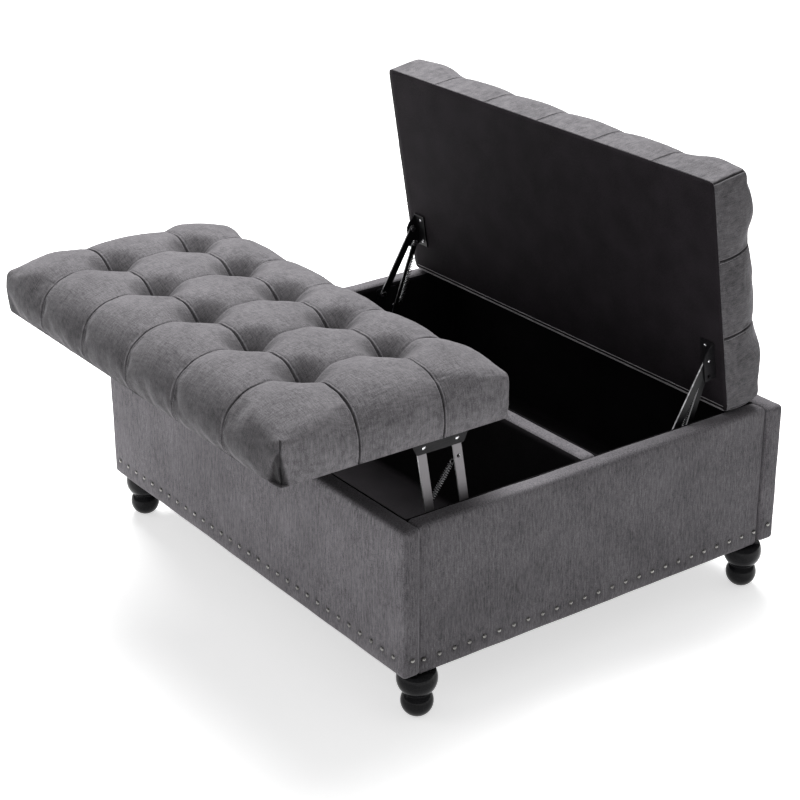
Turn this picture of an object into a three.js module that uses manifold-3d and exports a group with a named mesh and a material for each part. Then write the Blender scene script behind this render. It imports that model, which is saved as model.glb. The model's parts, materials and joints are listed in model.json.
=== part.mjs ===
// A double-lid storage bench: an upholstered box on four turned feet, split by a divider.
// The front seat pad is a tray that rides up and forward on two pairs of parallel arms.
// The rear seat pad is a lid that stands up on a pair of two-armed hinges.
// It is drawn with both open. Millimetres, +Z up, +X along the bench, -Y towards the sitter.

import * as THREE from "three";
import { RoundedBoxGeometry } from "three/addons/geometries/RoundedBoxGeometry.js";
import { mergeVertices } from "three/addons/utils/BufferGeometryUtils.js";
import Module from "manifold-3d";

const wasm = await Module();
wasm.setup();

// ---- Driving dimensions ----

const GAP = 0.3; // between touching pieces
const SIDES = [["left", -1], ["right", 1]];

// The box.
const BASE_LENGTH = 1032;
const BASE_DEPTH = 900;
const BASE_TOP = 386;
const PANEL_BOTTOM = 99;
const END_PANEL_BOTTOM = 92; // the end panels reach lower, down to the feet
const PANEL_THICKNESS = 37; // front and back
const END_THICKNESS = 38;
const END_INSET = 7.5; // an end panel's face behind the ends of the front and back panels
const PANEL_EDGE_RADIUS = 8;
const DIVIDER_THICKNESS = 34;
const DIVIDER_TOP = 385;
const DUST_COVER_THICKNESS = 1;
const DIVIDER_EDGE_RADIUS = 6;
const CORNER_BLOCK = { size: 62, height: 17.4 };
const FLOOR_THICKNESS = 12;
const LINING_THICKNESS = 1.5;
const LINING_TOP = 383;

// The feet: a ball run into the underside of a bigger one, with a hanger bolt up into the end panel.
const FOOT_X = 485;
const FOOT_Y = 399;
const FOOT_BALL_RADIUS = 30;
const FOOT_BALL_HEIGHT = 28.3; // of the ball's centre, so that its bottom is a small flat
const FOOT_NECK = { radius: 24.6, z: 46.1 };
const FOOT_BULB = { radius: 37.5, z: 75, height: 37 };
const FOOT_BOLT = { radius: 4, top: 140 };
const FOOT_BORE = { radius: 4.6, top: 141, sides: 12 };
const FOOT_SIDES = 18;
const FOOT_ARC_STEPS = 6;

// The two seat pads, measured from the flat underside up.
const PAD_DEPTH = 476;
const TRAY_LENGTH = 976;
const LID_LENGTH = 992;
const PAD_SPLIT = 4; // between the two closed pads
const PAD_SIDE_HEIGHT = 86;
const PAD_CROWN = 116;
const PAD_EDGE_RADIUS = 9;
const PAD_SHOULDER = 58; // the width of the crown's slope
const PAD_CROWN_INSET = 4; // of the crown's foot from the sides
const PAD_CROWN_RISE = 36; // from the crown's foot to its top
const PAD_LINING = { inset: 7, thickness: 1.2 };
const PAD_BOARD = { inset: 16, thickness: 15 };
const CLOSED_UNDERSIDE = 389; // just above the box

// Steel strip and its layers, counted inwards from an end panel's lining.
const PLATE = 3;
const ARM = 3;
const FLANGE = 2.5;
const FLANGE_WIDTH = 34;
const HOLE_RADIUS = 3.8;
const PIN_RADIUS = 3.5;
const ARM_CLEARANCE = 0.5;
const FLUSH_HEAD = { radius: 6.5, height: 1.2 };
const SHOULDER_RADIUS = 5;
const DOME_HEAD = { radius: 7.5, height: 2.6 };
const PIN_SIDES = 12;

// The tray's lift: parallel arms from a steep forward lean to nearly flat.
const LIFT_ARM = 172.8;
const LIFT_ARM_WIDTH = 18;
const LIFT_OPEN_LEAN = THREE.MathUtils.degToRad(-9); // from upright, + is back
const LIFT_CLOSED_LEAN = THREE.MathUtils.degToRad(78);
const LIFT_PIVOT_DROP = 18; // below the tray's underside
const LIFT_FRONT_PIVOT_Y = -346;
const LIFT_ARM_SPACING = 71;
const LIFT_SPARE_HOLE = 37; // from the rear arm's upper pivot
const LIFT_PLATE = { before: 28, behind: 22, below: 24, above: 28 }; // round its two pivots
const LIFT_STOP = { ahead: 14, width: 6, low: 12, high: 27 }; // the lug that the front arm leans on
const RAIL = { before: 14, behind: 14, below: 11, slope: 14, flangeBefore: 57, flangeBehind: 62 };
const LIFT_SPRING = { low: 45, high: 118 }; // up the front arm, and up the rear arm

// The lid's hinge: places on the lid are (along it from the hinge edge, below its underside).
const LID_OPEN_EDGE = new THREE.Vector2(322, 393); // the underside's hinge edge when open, as (y, z)
const LID_SWING = THREE.MathUtils.degToRad(81);
const LONG_ARM_ON_LID = new THREE.Vector2(110, 14);
const LONG_ARM_OFFSET = 140; // of its fixed pivot from the middle of its lid pivot's travel
const SHORT_ARM_ON_LID = new THREE.Vector2(79, 18);
const SHORT_ARM_OFFSET = 180;
const LONG_ARM_WIDTH = 17;
const SHORT_ARM_WIDTH = 13;
const LID_BRACKET = { from: 70, to: 142, depth: 28, nose: 8 };
const HINGE_PLATE = { before: 18, behind: 24, below: 18, above: 13 };
const HINGE_SPRING = { from: 0.3, to: 0.86 }; // shares of the short arm

// Coil springs.
const SPRING = { coil: 4.6, wire: 0.9, turns: 9, sides: 6, stepsPerTurn: 6 };

// ---- Worked out from the above ----

const BASE_HALF = BASE_LENGTH / 2;
const FRONT_INNER_Y = BASE_DEPTH / 2 - PANEL_THICKNESS;
const END_OUTER_X = BASE_HALF - END_INSET;
const END_INNER_X = END_OUTER_X - END_THICKNESS;
const FLOOR_BOTTOM = PANEL_BOTTOM + DUST_COVER_THICKNESS + CORNER_BLOCK.height + 3 * GAP;
const FLOOR_TOP = FLOOR_BOTTOM + FLOOR_THICKNESS;
const PLATE_OUTER_X = END_INNER_X - LINING_THICKNESS - 2 * GAP;
const PLATE_INNER_X = PLATE_OUTER_X - PLATE;
const OUTER_ARM_X = PLATE_INNER_X - ARM_CLEARANCE; // outboard face of the arm beside the plate
const FLUSH_HEAD_X = OUTER_ARM_X - ARM - GAP;
const INNER_ARM_X = FLUSH_HEAD_X - FLUSH_HEAD.height - 1; // outboard face of the arm further in
const DOME_HEAD_X = INNER_ARM_X - ARM - GAP;
const SPRING_X = DOME_HEAD_X - DOME_HEAD.height - SPRING.coil - SPRING.wire - GAP;

const lean = (angle, length) =>
  new THREE.Vector2(Math.sin(angle) * length, Math.cos(angle) * length);
const liftClosed = lean(LIFT_CLOSED_LEAN, LIFT_ARM);
const liftOpen = lean(LIFT_OPEN_LEAN, LIFT_ARM);
const LIFT_PIVOT_Z = CLOSED_UNDERSIDE - LIFT_PIVOT_DROP - liftClosed.y;
const liftFront = new THREE.Vector2(LIFT_FRONT_PIVOT_Y, LIFT_PIVOT_Z);
const liftRear = new THREE.Vector2(LIFT_FRONT_PIVOT_Y + LIFT_ARM_SPACING, LIFT_PIVOT_Z);
const trayFront = liftFront.clone().add(liftOpen);
const trayRear = liftRear.clone().add(liftOpen);
const trayUnderside = trayFront.y + LIFT_PIVOT_DROP;
const trayCentreY = -(PAD_SPLIT + PAD_DEPTH) / 2 + liftOpen.x - liftClosed.x;

const LID_LEAN = LID_SWING - Math.PI / 2; // from upright, so the open lid leans forwards
const lidUp = lean(LID_LEAN, 1);
const lidOut = new THREE.Vector2(-lidUp.y, lidUp.x); // away from the underside

// A place on the open lid, and on the closed one.
function onOpenLid(place) {
  return LID_OPEN_EDGE.clone()
    .addScaledVector(lidUp, place.x)
    .addScaledVector(lidOut, place.y);
}

function onClosedLid(place) {
  return new THREE.Vector2(PAD_SPLIT / 2 + PAD_DEPTH - place.x, CLOSED_UNDERSIDE - place.y);
}

// The fixed pivot that is equally far from a lid pivot's open and closed places.
function fixedPivot(place, offset) {
  const open = onOpenLid(place);
  const closed = onClosedLid(place);
  const travel = closed.clone().sub(open).normalize();
  const away = new THREE.Vector2(travel.y, -travel.x);
  return open.lerp(closed, 0.5).addScaledVector(away, offset);
}

const longOnLid = onOpenLid(LONG_ARM_ON_LID);
const longOnBase = fixedPivot(LONG_ARM_ON_LID, LONG_ARM_OFFSET);
const shortOnLid = onOpenLid(SHORT_ARM_ON_LID);
const shortOnBase = fixedPivot(SHORT_ARM_ON_LID, SHORT_ARM_OFFSET);

// ---- Materials ----

const finish = (color, roughness, metalness = 0) =>
  new THREE.MeshStandardMaterial({ color, roughness, metalness });
const FABRIC = finish(0x66636a, 0.95);
const LINING = finish(0x1d1a1e, 0.9);
const BOARD = finish(0x9c7a52, 0.8);
const GLOSS_BLACK = finish(0x0a0a0b, 0.15);
const BRIGHT_STEEL = finish(0x8d8d92, 0.35, 1);
const BLACK_STEEL = finish(0x121214, 0.45, 0.6);
const PIN_STEEL = finish(0xc8c8cc, 0.25, 1);

// ---- Solids: joins and cuts ----

function solidOf(geometry) {
  const bare = geometry.index ? geometry.toNonIndexed() : geometry.clone();
  bare.deleteAttribute("normal");
  bare.deleteAttribute("uv");
  const merged = mergeVertices(bare, 1e-3);
  return new wasm.Manifold(
    new wasm.Mesh({
      numProp: 3,
      vertProperties: merged.attributes.position.array,
      triVerts: new Uint32Array(merged.index.array),
    }),
  );
}

function geometryOf(solid) {
  const { vertProperties, triVerts } = solid.getMesh();
  return new THREE.BufferGeometry()
    .setAttribute("position", new THREE.BufferAttribute(vertProperties, 3))
    .setIndex(new THREE.BufferAttribute(triVerts, 1));
}

const joined = (...parts) => geometryOf(parts.map(solidOf).reduce((a, b) => a.add(b)));
const cut = (whole, ...parts) =>
  geometryOf(parts.map(solidOf).reduce((a, b) => a.subtract(b), solidOf(whole)));

// ---- Shapes ----

// A box between two corners.
function boxBetween(low, high) {
  const size = high.map((h, i) => h - low[i]);
  const middle = high.map((h, i) => (h + low[i]) / 2);
  return new THREE.BoxGeometry(...size).translate(...middle);
}

// The same with a rounded edge all round.
function softBoxBetween(low, high, radius) {
  const size = high.map((h, i) => h - low[i]);
  const middle = high.map((h, i) => (h + low[i]) / 2);
  return new RoundedBoxGeometry(...size, 2, radius).translate(...middle);
}

// A box on one side of the bench, given for the right.
function boxOnSide(side, low, high) {
  const [innerX, ...lowRest] = low;
  const [outerX, ...highRest] = high;
  if (side > 0) return boxBetween(low, high);
  return boxBetween([-outerX, ...lowRest], [-innerX, ...highRest]);
}

const yzPlane = new THREE.Matrix4().makeBasis(
  new THREE.Vector3(0, 1, 0),
  new THREE.Vector3(0, 0, 1),
  new THREE.Vector3(1, 0, 0),
);

// A flat plate of steel in the (y, z) plane, between two distances from the middle, on one side.
function plateOf(shape, side, innerX, outerX) {
  const geometry = new THREE.ExtrudeGeometry(shape, {
    depth: outerX - innerX,
    bevelEnabled: false,
    curveSegments: 8,
  });
  return geometry.applyMatrix4(yzPlane).translate(side > 0 ? innerX : -outerX, 0, 0);
}

function drill(shape, centre, radius = HOLE_RADIUS) {
  const hole = new THREE.Path();
  hole.absarc(centre.x, centre.y, radius, 0, 2 * Math.PI, true);
  shape.holes.push(hole);
}

// A flat link with round ends and a hole at each.
function linkShape(from, to, width) {
  const angle = Math.atan2(to.y - from.y, to.x - from.x);
  const shape = new THREE.Shape();
  shape.absarc(to.x, to.y, width / 2, angle - Math.PI / 2, angle + Math.PI / 2, false);
  shape.absarc(from.x, from.y, width / 2, angle + Math.PI / 2, angle + 1.5 * Math.PI, false);
  shape.closePath();
  drill(shape, from);
  drill(shape, to);
  return shape;
}

// A polygon with its corners rounded, from corners in anticlockwise order.
function roundedPolygon(corners, radius) {
  const shape = new THREE.Shape();
  corners.forEach((corner, i) => {
    const towards = (other) => other.clone().sub(corner).setLength(radius).add(corner);
    const before = towards(corners.at(i - 1));
    const after = towards(corners[(i + 1) % corners.length]);
    const go = i === 0 ? "moveTo" : "lineTo";
    shape[go](before.x, before.y);
    shape.quadraticCurveTo(corner.x, corner.y, after.x, after.y);
  });
  shape.closePath();
  return shape;
}

// A turned piece about an X axis through (y, z), given as [radius, distance from the middle] pairs.
function turnedPin(profile, side, centre) {
  const points = profile.map(([radius, x]) => new THREE.Vector2(radius, x));
  const geometry = new THREE.LatheGeometry(points, PIN_SIDES);
  geometry.rotateZ(side > 0 ? -Math.PI / 2 : Math.PI / 2);
  return geometry.translate(0, centre.x, centre.y);
}

// A rivet whose flat head holds the arm that lies against the plate.
function flushRivet(side, centre) {
  const head = FLUSH_HEAD_X - FLUSH_HEAD.height;
  return turnedPin(
    [
      [0, head],
      [FLUSH_HEAD.radius, head],
      [FLUSH_HEAD.radius, FLUSH_HEAD_X],
      [PIN_RADIUS, FLUSH_HEAD_X],
      [PIN_RADIUS, PLATE_OUTER_X],
      [0, PLATE_OUTER_X],
    ],
    side,
    centre,
  );
}

// A shouldered rivet with a domed head, which holds the arm that lies further in.
function shoulderRivet(side, centre, end = PLATE_OUTER_X) {
  const shoulderOuter = PLATE_INNER_X - GAP;
  const shoulderInner = INNER_ARM_X + GAP;
  const top = DOME_HEAD_X - DOME_HEAD.height;
  const hasTail = end > shoulderOuter;
  const tail = hasTail ? [[PIN_RADIUS, shoulderOuter], [PIN_RADIUS, end]] : [];
  return turnedPin(
    [
      [0, top],
      [DOME_HEAD.radius * 0.6, top + DOME_HEAD.height * 0.2],
      [DOME_HEAD.radius, DOME_HEAD_X],
      [PIN_RADIUS, DOME_HEAD_X],
      [PIN_RADIUS, shoulderInner],
      [SHOULDER_RADIUS, shoulderInner],
      [SHOULDER_RADIUS, shoulderOuter],
      ...tail,
      [0, Math.max(end, shoulderOuter)],
    ],
    side,
    centre,
  );
}

// A seat pad's soft body on its underside at z = 0, hollowed underneath for its board.
function padBody(length) {
  const x = length / 2;
  const y = PAD_DEPTH / 2;
  const low = PAD_LINING.thickness + GAP;
  const sides = softBoxBetween([-x, -y, low], [x, y, PAD_SIDE_HEIGHT], PAD_EDGE_RADIUS);
  const core = new THREE.Shape();
  const coreX = x - PAD_SHOULDER - PAD_CROWN_INSET;
  const coreY = y - PAD_SHOULDER - PAD_CROWN_INSET;
  core.moveTo(-coreX, -coreY).lineTo(coreX, -coreY).lineTo(coreX, coreY).lineTo(-coreX, coreY);
  core.closePath();
  const crown = new THREE.ExtrudeGeometry(core, {
    depth: 1,
    bevelThickness: PAD_CROWN_RISE,
    bevelSize: PAD_SHOULDER,
    bevelSegments: 4,
  }).translate(0, 0, PAD_CROWN - PAD_CROWN_RISE - 1);
  const reach = PAD_BOARD.inset - GAP;
  const hollow = boxBetween(
    [-x + reach, -y + reach, -1],
    [x - reach, y - reach, low + PAD_BOARD.thickness + GAP],
  );
  return cut(joined(sides, crown), hollow);
}

function padBoard(length) {
  const x = length / 2 - PAD_BOARD.inset;
  const y = PAD_DEPTH / 2 - PAD_BOARD.inset;
  const low = PAD_LINING.thickness + GAP;
  return boxBetween([-x, -y, low], [x, y, low + PAD_BOARD.thickness]);
}

function padLining(length) {
  const x = length / 2 - PAD_LINING.inset;
  const y = PAD_DEPTH / 2 - PAD_LINING.inset;
  return boxBetween([-x, -y, 0], [x, y, PAD_LINING.thickness]);
}

// A coil spring between two (y, z) points, at a distance from the middle.
class CoilPath extends THREE.Curve {
  constructor(from, to) {
    super();
    this.from = from;
    this.along = to.clone().sub(from);
    this.across = new THREE.Vector3(1, 0, 0);
    this.beside = this.along.clone().normalize().cross(this.across);
  }

  getPoint(t, target = new THREE.Vector3()) {
    const turn = 2 * Math.PI * SPRING.turns * t;
    return target
      .copy(this.from)
      .addScaledVector(this.along, t)
      .addScaledVector(this.across, SPRING.coil * Math.cos(turn))
      .addScaledVector(this.beside, SPRING.coil * Math.sin(turn));
  }
}

function coilSpring(side, x, from, to) {
  const section = new THREE.Shape();
  section.absarc(0, 0, SPRING.wire, 0, 2 * Math.PI, false);
  const start = new THREE.Vector3(side * x, from.x, from.y);
  const end = new THREE.Vector3(side * x, to.x, to.y);
  return new THREE.ExtrudeGeometry(section, {
    steps: SPRING.turns * SPRING.stepsPerTurn,
    extrudePath: new CoilPath(start, end),
    curveSegments: SPRING.sides / 2,
  });
}

// ---- The assembly ----

const bench = new THREE.Group();

function piece(name, geometry, material, parent = bench) {
  const mesh = new THREE.Mesh(geometry, material);
  mesh.name = name;
  parent.add(mesh);
  return mesh;
}

// The front and back panels run the whole length, and the end panels stand between them.
function addPanels() {
  for (const [name, side] of [["front", -1], ["back", 1]]) {
    const half = PANEL_THICKNESS / 2;
    const low = [-BASE_HALF, -half, PANEL_BOTTOM];
    const high = [BASE_HALF, half, BASE_TOP];
    const panel = piece(`${name}_panel`, softBoxBetween(low, high, PANEL_EDGE_RADIUS), FABRIC);
    panel.position.y = side * (BASE_DEPTH / 2 - half);
  }
  for (const [name, side] of SIDES) {
    const y = FRONT_INNER_Y - GAP;
    const low = [END_INNER_X, -y, END_PANEL_BOTTOM];
    const high = [END_OUTER_X, y, BASE_TOP];
    const panel = softBoxBetween(low, high, PANEL_EDGE_RADIUS);
    const bored = cut(panel, footBore(-FOOT_Y), footBore(FOOT_Y));
    const standing = piece(`${name}_end_panel`, bored, FABRIC);
    standing.rotation.z = side > 0 ? 0 : Math.PI;
  }
}

// The hole up into an end panel for one foot's bolt.
function footBore(y) {
  const { radius, top, sides } = FOOT_BORE;
  const height = top - END_PANEL_BOTTOM + FOOT_BULB.height;
  return new THREE.CylinderGeometry(radius, radius, height, sides)
    .rotateX(Math.PI / 2)
    .translate(FOOT_X, y, top - height / 2);
}

function addFloorAndDivider() {
  const x = END_INNER_X - GAP;
  const y = FRONT_INNER_Y - GAP;
  const dustTop = PANEL_BOTTOM + DUST_COVER_THICKNESS;
  piece("dust_cover", boxBetween([-x, -y, PANEL_BOTTOM], [x, y, dustTop]), LINING);
  piece("floor_board", boxBetween([-x, -y, FLOOR_BOTTOM], [x, y, FLOOR_TOP]), BOARD);
  const half = DIVIDER_THICKNESS / 2;
  const low = [-x, -half, FLOOR_TOP + GAP];
  piece("divider", softBoxBetween(low, [x, half, DIVIDER_TOP], DIVIDER_EDGE_RADIUS), FABRIC);
}

// A turned foot with its bolt, standing on z = 0.
function footGeometry() {
  const profile = [new THREE.Vector2(0, 0)];
  const ball = FOOT_BALL_RADIUS;
  const start = Math.asin(-FOOT_BALL_HEIGHT / ball);
  const end = Math.acos(FOOT_NECK.radius / ball);
  for (let i = 0; i <= FOOT_ARC_STEPS; i++) {
    const angle = start + ((end - start) * i) / FOOT_ARC_STEPS;
    const z = FOOT_BALL_HEIGHT + ball * Math.sin(angle);
    profile.push(new THREE.Vector2(ball * Math.cos(angle), Math.max(z, 0)));
  }
  profile.push(new THREE.Vector2(FOOT_NECK.radius, FOOT_NECK.z));
  const top = END_PANEL_BOTTOM - GAP;
  const bulbLow = -Math.sqrt(1 - (FOOT_NECK.radius / FOOT_BULB.radius) ** 2);
  const bulbHigh = (top - FOOT_BULB.z) / FOOT_BULB.height;
  for (let i = 0; i <= FOOT_ARC_STEPS; i++) {
    const rise = bulbLow + ((bulbHigh - bulbLow) * i) / FOOT_ARC_STEPS;
    const radius = FOOT_BULB.radius * Math.sqrt(1 - rise * rise);
    const z = FOOT_BULB.z + FOOT_BULB.height * rise;
    profile.push(new THREE.Vector2(Math.max(radius, FOOT_NECK.radius), z));
  }
  profile.push(new THREE.Vector2(FOOT_BOLT.radius, top));
  profile.push(new THREE.Vector2(FOOT_BOLT.radius, FOOT_BOLT.top));
  profile.push(new THREE.Vector2(0, FOOT_BOLT.top));
  return new THREE.LatheGeometry(profile, FOOT_SIDES).rotateX(Math.PI / 2);
}

function addCornersAndFeet() {
  const { size, height } = CORNER_BLOCK;
  const blockX = END_INNER_X - GAP - size / 2;
  const blockY = FRONT_INNER_Y - GAP - size / 2;
  const blockZ = PANEL_BOTTOM + DUST_COVER_THICKNESS + GAP + height / 2;
  const blockGeometry = new THREE.BoxGeometry(size, size, height);
  for (const [side, x] of SIDES) {
    for (const [end, y] of [["front", -1], ["rear", 1]]) {
      const block = piece(`${end}_${side}_corner_block`, blockGeometry.clone(), BOARD);
      block.position.set(x * blockX, y * blockY, blockZ);
      const foot = piece(`${end}_${side}_foot`, footGeometry(), GLOSS_BLACK);
      foot.position.set(x * FOOT_X, y * FOOT_Y, 0);
    }
  }
}

// A cloth lining on a compartment's floor and four walls, open at the top.
function addLinings() {
  const x = END_INNER_X - GAP;
  const inner = DIVIDER_THICKNESS / 2 + GAP;
  const outer = FRONT_INNER_Y - GAP;
  const t = LINING_THICKNESS;
  const bottom = FLOOR_TOP + GAP;
  for (const [name, low, high] of [["front", -outer, -inner], ["rear", inner, outer]]) {
    const whole = boxBetween([-x, low, bottom], [x, high, LINING_TOP]);
    const room = boxBetween([-x + t, low + t, bottom + t], [x - t, high - t, BASE_TOP]);
    piece(`${name}_lining`, cut(whole, room), LINING);
  }
}

// A seat pad: its upholstered body, board and underside lining.
function addPad(name, length, parent, middleY) {
  const pad = new THREE.Group();
  pad.position.y = middleY;
  parent.add(pad);
  piece(`${name}_cushion`, padBody(length), FABRIC, pad);
  piece(`${name}_board`, padBoard(length), BOARD, pad);
  piece(`${name}_underside`, padLining(length), LINING, pad);
}

const place = (y, z) => new THREE.Vector2(y, z);

// A plate with one straight flange along its top, bent inwards under a pad.
function flangedPlate(side, shape, flangeY, top) {
  const leaf = plateOf(shape, side, PLATE_INNER_X, PLATE_OUTER_X);
  const flange = boxOnSide(
    side,
    [PLATE_OUTER_X - FLANGE_WIDTH, flangeY[0], top - FLANGE],
    [PLATE_OUTER_X, flangeY[1], top],
  );
  return joined(leaf, flange);
}

function addArm(name, side, shape, outerX, material) {
  piece(name, plateOf(shape, side, outerX - ARM, outerX), material);
}

// The tray's lift on one side: a plate on the box, a rail under the tray, two arms and a spring.
function addLift(name, side) {
  const { before, behind, below, above } = LIFT_PLATE;
  const plate = roundedPolygon(
    [
      place(liftFront.x - before, liftFront.y - below),
      place(liftRear.x + behind, liftRear.y - below),
      place(liftRear.x + behind, liftRear.y + above),
      place(liftFront.x - before, liftFront.y + above),
    ],
    6,
  );
  drill(plate, liftFront);
  drill(plate, liftRear);
  const leaf = plateOf(plate, side, PLATE_INNER_X, PLATE_OUTER_X);
  const stop = boxOnSide(
    side,
    [INNER_ARM_X - ARM, liftFront.x - LIFT_STOP.ahead - LIFT_STOP.width, liftFront.y + LIFT_STOP.low],
    [PLATE_INNER_X + PLATE / 2, liftFront.x - LIFT_STOP.ahead, liftFront.y + LIFT_STOP.high],
  );
  piece(`${name}_lift_plate`, joined(leaf, stop), BRIGHT_STEEL);

  addTrayRail(name, side);
  const front = linkShape(liftFront, trayFront, LIFT_ARM_WIDTH);
  addArm(`${name}_lift_front_arm`, side, front, INNER_ARM_X, BRIGHT_STEEL);
  const rear = linkShape(liftRear, trayRear, LIFT_ARM_WIDTH);
  const downArm = lean(LIFT_OPEN_LEAN, -LIFT_SPARE_HOLE);
  drill(rear, trayRear.clone().add(downArm));
  addArm(`${name}_lift_rear_arm`, side, rear, OUTER_ARM_X, BRIGHT_STEEL);

  piece(`${name}_lift_front_lower_rivet`, shoulderRivet(side, liftFront), PIN_STEEL);
  piece(`${name}_lift_front_upper_rivet`, shoulderRivet(side, trayFront), PIN_STEEL);
  piece(`${name}_lift_rear_lower_rivet`, flushRivet(side, liftRear), PIN_STEEL);
  piece(`${name}_lift_rear_upper_rivet`, flushRivet(side, trayRear), PIN_STEEL);

  const springFrom = liftFront.clone().add(lean(LIFT_OPEN_LEAN, LIFT_SPRING.low));
  const springTo = liftRear.clone().add(lean(LIFT_OPEN_LEAN, LIFT_SPRING.high));
  piece(`${name}_lift_spring`, coilSpring(side, SPRING_X, springFrom, springTo), BLACK_STEEL);
}

function addTrayRail(name, side) {
  const top = trayUnderside - GAP;
  const low = trayFront.y - RAIL.below;
  const before = trayFront.x - RAIL.before;
  const behind = trayRear.x + RAIL.behind;
  const corners = [
    place(before, low),
    place(behind, low),
    place(behind + RAIL.slope, top),
    place(before - RAIL.slope, top),
  ];
  const shape = roundedPolygon(corners, 2);
  drill(shape, trayFront);
  drill(shape, trayRear);
  const flangeY = [trayFront.x - RAIL.flangeBefore, trayRear.x + RAIL.flangeBehind];
  piece(`${name}_tray_rail`, flangedPlate(side, shape, flangeY, top), BRIGHT_STEEL);
}

// The lid's hinge on one side: a plate on the box, a bracket on the lid, two arms and a spring.
function addHinge(name, side) {
  const { before, behind, below, above } = HINGE_PLATE;
  const corners = [
    place(longOnBase.x - before, shortOnBase.y - below),
    place(shortOnBase.x + behind, shortOnBase.y - below),
    place(shortOnBase.x + behind, longOnBase.y + above),
    place(longOnBase.x - before, longOnBase.y + above),
  ];
  const plate = roundedPolygon(corners, 8);
  drill(plate, longOnBase);
  drill(plate, shortOnBase);
  piece(`${name}_hinge_plate`, plateOf(plate, side, PLATE_INNER_X, PLATE_OUTER_X), BLACK_STEEL);

  addLidBracket(name, side);
  const longArm = linkShape(longOnBase, longOnLid, LONG_ARM_WIDTH);
  addArm(`${name}_hinge_long_arm`, side, longArm, OUTER_ARM_X, BLACK_STEEL);
  const shortArm = linkShape(shortOnBase, shortOnLid, SHORT_ARM_WIDTH);
  addArm(`${name}_hinge_short_arm`, side, shortArm, INNER_ARM_X, BLACK_STEEL);

  // The short arm's lid rivet stops short of the bracket, which is where the linkage is opened.
  const openEnd = PLATE_INNER_X - GAP;
  piece(`${name}_hinge_long_lower_rivet`, flushRivet(side, longOnBase), PIN_STEEL);
  piece(`${name}_hinge_long_upper_rivet`, flushRivet(side, longOnLid), PIN_STEEL);
  piece(`${name}_hinge_short_lower_rivet`, shoulderRivet(side, shortOnBase), PIN_STEEL);
  piece(`${name}_hinge_short_upper_rivet`, shoulderRivet(side, shortOnLid, openEnd), PIN_STEEL);

  const springFrom = shortOnBase.clone().lerp(shortOnLid, HINGE_SPRING.from);
  const springTo = shortOnBase.clone().lerp(shortOnLid, HINGE_SPRING.to);
  piece(`${name}_hinge_spring`, coilSpring(side, SPRING_X, springFrom, springTo), BLACK_STEEL);
}

// The bracket, drawn on the closed lid with the hinge edge at y = 0.
function addLidBracket(name, side) {
  const { from, to, depth, nose } = LID_BRACKET;
  const corners = [
    place(-from, -depth),
    place(-from, -GAP),
    place(-to, -GAP),
    place(-LONG_ARM_ON_LID.x - 2 * nose, -depth + nose),
    place(-LONG_ARM_ON_LID.x - nose / 2, -depth),
  ];
  const shape = roundedPolygon(corners, 3);
  drill(shape, LONG_ARM_ON_LID.clone().negate());
  drill(shape, SHORT_ARM_ON_LID.clone().negate());
  const bracket = flangedPlate(side, shape, [-to, -from], -GAP);
  piece(`${name}_lid_bracket`, bracket, BLACK_STEEL, openLid);
}

addPanels();
addFloorAndDivider();
addCornersAndFeet();
addLinings();
const openTray = new THREE.Group();
openTray.position.z = trayUnderside;
const openLid = new THREE.Group();
openLid.position.set(0, LID_OPEN_EDGE.x, LID_OPEN_EDGE.y);
openLid.rotation.x = -LID_SWING;
bench.add(openTray, openLid);
addPad("tray", TRAY_LENGTH, openTray, trayCentreY);
addPad("lid", LID_LENGTH, openLid, -PAD_DEPTH / 2);
for (const [name, side] of SIDES) {
  addLift(name, side);
  addHinge(name, side);
}

// The origin is under the middle of the open bench, on the floor.
const extent = new THREE.Box3().setFromObject(bench);
const middle = extent.getCenter(new THREE.Vector3());
bench.position.set(-middle.x, -middle.y, -extent.min.z);

export default bench;
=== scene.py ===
"""The looks of a double-lid storage bench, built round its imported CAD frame.

Two tufted seat pads, padded panels, linings, nailheads, turned feet, lift arms, hinges, springs and
screws. Everything is in metres, in the frame's own axes: +X along the bench, -Y out of its front, +Z up.
"""

import json
import math

import bmesh
import bpy
import numpy as np
from mathutils import Matrix, Vector, noise


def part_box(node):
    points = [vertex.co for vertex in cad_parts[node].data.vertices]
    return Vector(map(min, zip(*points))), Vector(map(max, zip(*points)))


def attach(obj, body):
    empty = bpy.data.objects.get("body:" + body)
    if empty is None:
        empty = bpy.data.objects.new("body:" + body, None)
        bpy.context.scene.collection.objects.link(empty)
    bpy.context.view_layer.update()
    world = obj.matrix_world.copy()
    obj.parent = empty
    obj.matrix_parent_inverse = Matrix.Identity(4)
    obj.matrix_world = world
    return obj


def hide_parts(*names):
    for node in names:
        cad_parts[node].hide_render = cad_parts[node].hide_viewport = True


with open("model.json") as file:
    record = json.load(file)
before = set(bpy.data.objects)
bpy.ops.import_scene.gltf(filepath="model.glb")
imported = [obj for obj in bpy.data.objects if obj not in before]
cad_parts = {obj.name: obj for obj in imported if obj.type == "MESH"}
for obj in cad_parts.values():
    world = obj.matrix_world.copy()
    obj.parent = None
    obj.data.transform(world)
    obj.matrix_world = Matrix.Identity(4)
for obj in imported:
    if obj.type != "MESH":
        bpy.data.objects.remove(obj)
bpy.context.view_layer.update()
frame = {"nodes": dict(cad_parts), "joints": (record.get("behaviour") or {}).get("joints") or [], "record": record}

# ---- Driving dimensions, in metres ----

LID_TURN = math.radians(-81)  # how the open lid stands, turned about +X from shut

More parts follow.
